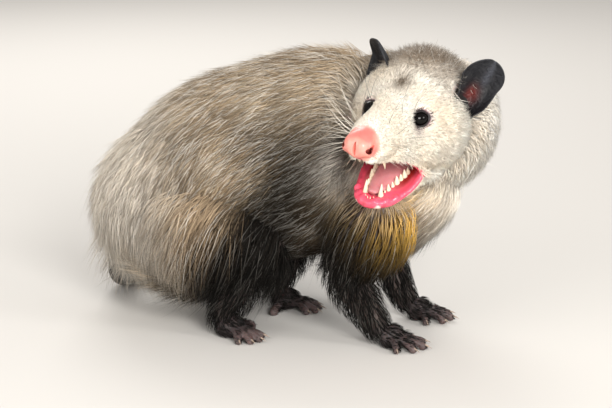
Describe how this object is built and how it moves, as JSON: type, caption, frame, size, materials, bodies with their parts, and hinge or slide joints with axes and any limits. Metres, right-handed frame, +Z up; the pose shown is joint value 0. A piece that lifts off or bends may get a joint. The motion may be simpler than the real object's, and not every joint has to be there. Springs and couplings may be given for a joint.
{
  "type": "opossum",
  "caption": "Adult Virginia opossum at life size, standing on four feet with its head turned back, mouth open and tail laid behind it",
  "frame": {"origin": "centre of the bounding box in plan, on the level of the soles", "axes": "+X is to the right of the picture, from rump to chest; -Y faces the picture's viewer; +Z up"},
  "size_m": [0.3238, 0.2726, 0.225],
  "materials": {
    "face_fur": "short white fur over pale skin",
    "neck_fur": "long cream and grey fur",
    "body_fur": "long grizzled fur, grey-beige with white guard hairs",
    "leg_fur": "dark brown-black fur with a few white guard hairs",
    "foot_skin": "bare matt skin, dark grey with pinkish toes",
    "tail_skin_dark": "fine black scales",
    "tail_skin": "fine pale pinkish-grey scales",
    "ear": "thin bare blue-black skin",
    "nose": "moist pink skin",
    "lower_jaw": "moist pink lip and gum with ivory teeth",
    "tongue": "wet pink",
    "eye": "wet black"
  },
  "bodies": {
    "root": {"head": "face_fur", "lower_jaw": "lower_jaw", "tongue": "tongue", "nose": "nose", "eye_left": "eye", "eye_right": "eye", "ear_left": "ear", "ear_right": "ear", "neck": "neck_fur", "torso": "body_fur", "upper_arm_right": "leg_fur", "upper_arm_left": "leg_fur", "forearm_right": "leg_fur", "forearm_left": "leg_fur", "thigh_right": "leg_fur", "thigh_left": "leg_fur", "shank_right": "leg_fur", "shank_left": "leg_fur", "forefoot_right": "foot_skin", "forefoot_left": "foot_skin", "hindfoot_right": "foot_skin", "hindfoot_left": "foot_skin", "tail_base": "tail_skin_dark", "tail_mid": "tail_skin", "tail_end": "tail_skin", "tail_tip": "tail_skin"}
  },
  "joints": []
}
